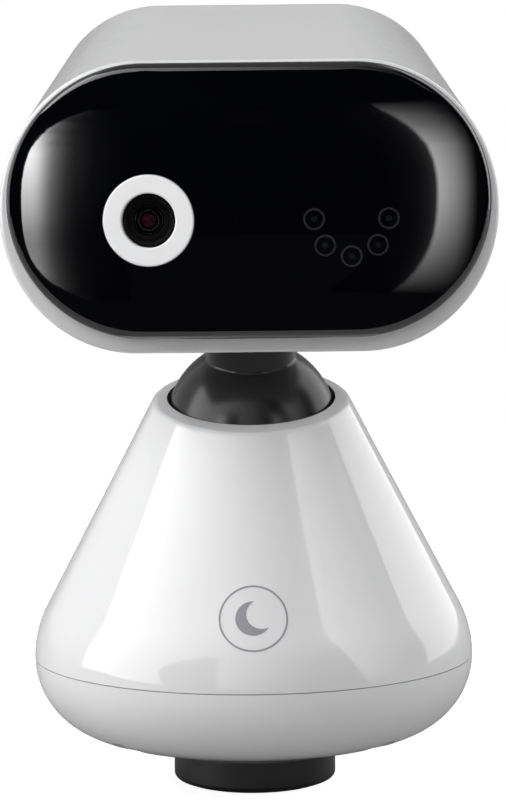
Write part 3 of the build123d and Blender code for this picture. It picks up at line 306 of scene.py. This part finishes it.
def studio_floor():
    """A pale lit table as the camera sees it, and just below it the unlit sheet, curved up behind
    the object, that gives the soft light from below. The sheet ends in front of the object, so that
    the visor mirrors nothing bright."""
    half_width = 3.0
    table_back = 0.55
    points = [(-half_width, -3.0, 0.0), (half_width, -3.0, 0.0),
              (half_width, table_back, 0.0), (-half_width, table_back, 0.0)]
    table = stage_mesh("studio_floor", points, [(0, 1, 2, 3)])
    table.data.materials.append(sheet_material("table", FLOOR_GLOW))
    seen_by(table, True, False, False, False)

    flat_end = 0.6
    bend = 0.8
    steps = 12
    profile = [(FLOOR_FRONT, 0.0), (0.0, 0.0), (0.3, 0.0), (flat_end, 0.0)]
    for step in range(1, steps + 1):
        angle = pi / 2 * step / steps
        profile.append((flat_end + bend * sin(angle), bend * (1 - cos(angle))))
    profile.append((flat_end + bend, 3.0))
    points = [(x, y, z - MM) for y, z in profile for x in (-half_width, half_width)]
    faces = [(2 * k, 2 * k + 1, 2 * k + 3, 2 * k + 2) for k in range(len(profile) - 1)]
    sheet = stage_mesh("studio_sheet", points, faces, smooth=True)
    sheet.data.materials.append(sheet_material("sheet", 0.0))
    seen_by(sheet, False, True, True, True)


def studio_walls():
    """White walls all round, seen only directly."""
    columns = 48
    radius = 2.9
    points = []
    for column in range(columns):
        angle = 2 * pi * column / columns
        for height in (-0.5, 3.0):
            points.append((radius * sin(angle), radius * cos(angle), height))
    faces = []
    for column in range(columns):
        after = (column + 1) % columns
        faces.append((2 * column, 2 * column + 1, 2 * after + 1, 2 * after))
    faces.append(tuple(2 * column + 1 for column in range(columns)))
    walls = stage_mesh("studio_walls", points, faces)
    walls.data.materials.append(glowing("white_wall", 1.0))
    seen_by(walls, True, False, False, False)


def light_panel(name, distance, elevations, edges, brightness, columns=24, rows=16):
    """A glowing sheet round the object, seen only in reflections and as light. edges gives the two
    azimuths at an elevation, and brightness the radiance so many degrees past the first of them, at
    an elevation. Azimuth 0 is in front and positive to the right, all angles in degrees."""
    points = []
    levels = []
    low, high = elevations
    for row in range(rows + 1):
        elevation = low + (high - low) * row / rows
        first, last = edges(elevation)
        for column in range(columns + 1):
            share = column / columns
            azimuth = first + (last - first) * share
            a = radians(azimuth)
            e = radians(elevation)
            out = Vector((sin(a) * cos(e), -cos(a) * cos(e), sin(e)))
            points.append(LIGHT_CENTRE + distance * out)
            levels.append(brightness(azimuth - first, elevation))
    across = columns + 1
    faces = [(r * across + c, r * across + c + 1, (r + 1) * across + c + 1, (r + 1) * across + c)
             for r in range(rows) for c in range(columns)]
    panel = stage_mesh(name, points, faces)
    level = panel.data.attributes.new("level", "FLOAT", "POINT")
    level.data.foreach_set("value", levels)
    material = glowing(name, 1.0)
    tree = material.node_tree
    read = tree.nodes.new("ShaderNodeAttribute")
    read.attribute_name = "level"
    emission = next(node for node in tree.nodes if node.bl_idname == "ShaderNodeEmission")
    tree.links.new(read.outputs["Fac"], emission.inputs["Strength"])
    panel.data.materials.append(material)
    seen_by(panel, False, True, True, False)
    return panel


def light_only(panel, slots):
    """Lets a panel light only the nodes with those material slots."""
    receivers = bpy.data.collections.new(panel.name + "_receivers")
    for name, obj in nodes.items():
        if slot_of[name] in slots:
            receivers.objects.link(obj)
    panel.light_linking.receiver_collection = receivers


def between(value, points):
    """Straight-line interpolation in a list of (place, value) pairs."""
    for (a, low), (b, high) in zip(points, points[1:]):
        if value <= b:
            return low + (high - low) * max(0.0, (value - a) / (b - a))
    return points[-1][1]


FLOOR_FRONT = -0.17             # where the unlit sheet ends, in metres
FLOOR_GLOW = 0.93
KEY_DISTANCE = 0.60             # of the panels from the light centre
WRAP_DISTANCE = 1.1
FILL_DISTANCE = 1.2
LEFT_KEY = 7.0                  # radiances
RIGHT_KEY = 3.3
LEFT_WRAP = 3.9
RIGHT_WRAP = 2.4
LEFT_FILL = 0.4
RIGHT_FILL = 2.0
LEFT_RIM = 0.6
RIGHT_RIM = 1.6
FRONT_LOW = 0.25
CEILING = 0.27
LEFT_KEY_EDGE = -48.5           # azimuths in degrees
LEFT_KEY_END = -18.0
RIGHT_KEY_EDGE = 32.5
RIGHT_KEY_SPILL = 12.0
WRAP_START = -97.0
WRAP_MIDDLE = 36.0
WRAP_END = 86.0
KEY_LEVELS = [(-22.0, 0.08), (-16.0, 0.2), (-8.0, 0.16), (0.0, 0.44), (4.0, 0.62), (8.0, 0.8),
              (13.0, 0.6), (17.0, 0.3)]
KEY_FADE = [(-43.5, 1.55), (-41.8, 1.45), (-40.0, 1.2), (-38.3, 0.85), (-35.2, 0.3), (-32.3, 0.12),
            (-30.0, 0.045), (-28.0, 0.02), (-24.0, 0.005), (-18.0, 0.0)]
SIDE_LEVELS = [(-20.0, 0.0), (-16.0, 0.2), (-8.0, 0.6), (0.0, 1.0), (8.0, 0.95), (13.0, 0.4),
               (16.0, 0.2), (18.0, 0.0)]
SIDE_FADE = [(-12.0, 0.0), (-6.0, 0.006), (-3.0, 0.02), (-1.0, 0.06), (0.0, 1.0), (3.0, 0.78),
             (7.0, 0.5), (12.0, 0.145), (15.0, 0.03), (17.0, 0.0)]
DARK_SLOTS = ("visor_black", "window_dark", "lens_glass", "ring_white", "neck_black", "foot_black")
SHELL_SLOTS = ("shell_white", "ring_white", "neck_black", "foot_black", "emblem_grey")


def left_key_edge(e):
    return LEFT_KEY_EDGE + 13.0 * abs((e + 2.0) / 15.0) ** 2.5


def right_key_edge(e):
    return RIGHT_KEY_EDGE - (8.0 if e > 0 else 4.0) * abs(e / 14.0) ** 2.5


def right_wrap_edge(e):
    return 43.5 + 0.3 * max(0.0, 40.0 - e)


def wrap_level(azimuth):
    return LEFT_WRAP * ((WRAP_MIDDLE - azimuth) / (WRAP_MIDDLE - WRAP_START)) ** 1.3


studio_floor()
studio_walls()
left_key = light_panel(
    "left_key", KEY_DISTANCE, (-21.0, 17.0), lambda e: (left_key_edge(e), LEFT_KEY_END),
    lambda past, e: LEFT_KEY * between(e, KEY_LEVELS) * between(left_key_edge(e) + past, KEY_FADE))
right_key = light_panel(
    "right_key", KEY_DISTANCE, (-20.0, 18.0),
    lambda e: (right_key_edge(e) - RIGHT_KEY_SPILL, right_key_edge(e) + 17.0),
    lambda past, e: RIGHT_KEY * between(e, SIDE_LEVELS) * between(past - RIGHT_KEY_SPILL, SIDE_FADE))
light_only(left_key, DARK_SLOTS)
light_only(right_key, DARK_SLOTS)
light_panel("left_wrap", WRAP_DISTANCE, (34.0, 62.0), lambda e: (WRAP_START, WRAP_MIDDLE),
            lambda past, e: wrap_level(min(WRAP_START + past, WRAP_MIDDLE)))
left_side = light_panel("left_side", WRAP_DISTANCE, (-8.0, 34.0), lambda e: (WRAP_START, WRAP_MIDDLE),
                        lambda past, e: wrap_level(min(WRAP_START + past, WRAP_MIDDLE)))
right_wrap = light_panel(
    "right_wrap", WRAP_DISTANCE, (-8.0, 62.0), lambda e: (right_wrap_edge(e), WRAP_END),
    lambda past, e: RIGHT_WRAP * (WRAP_END - right_wrap_edge(e) - past) / (WRAP_END - WRAP_MIDDLE))
front_low = light_panel("front_low", 1.3, (-42.0, 8.0), lambda e: (-50.0, 50.0), lambda past, e: FRONT_LOW)
seen_by(front_low, False, True, False, False)
light_only(left_side, SHELL_SLOTS)
light_only(right_wrap, SHELL_SLOTS)
light_only(front_low, ("shell_white", "ring_white", "emblem_grey"))
left_fill = light_panel("left_fill", FILL_DISTANCE, (-4.0, 60.0), lambda e: (-110.0, -52.0),
                        lambda past, e: LEFT_FILL)
right_fill = light_panel("right_fill", FILL_DISTANCE, (-4.0, 60.0), lambda e: (52.0, 110.0),
                         lambda past, e: RIGHT_FILL)
seen_by(left_fill, False, True, False, False)
seen_by(right_fill, False, True, False, False)
light_panel("left_rim", FILL_DISTANCE, (-10.0, 60.0), lambda e: (-150.0, -98.0), lambda past, e: LEFT_RIM)
light_panel("right_rim", FILL_DISTANCE, (-10.0, 60.0), lambda e: (100.0, 150.0), lambda past, e: RIGHT_RIM)
light_panel("ceiling", 1.6, (30.0, 89.0), lambda e: (-180.0, 180.0), lambda past, e: CEILING, columns=48)

world = bpy.data.worlds.new("studio")
bpy.context.scene.world = world
world.use_nodes = True
world.node_tree.nodes["Background"].inputs["Color"].default_value = (1.0, 1.0, 1.0, 1.0)
world.node_tree.nodes["Background"].inputs["Strength"].default_value = 0.01
bpy.context.scene.view_settings.view_transform = "Standard"
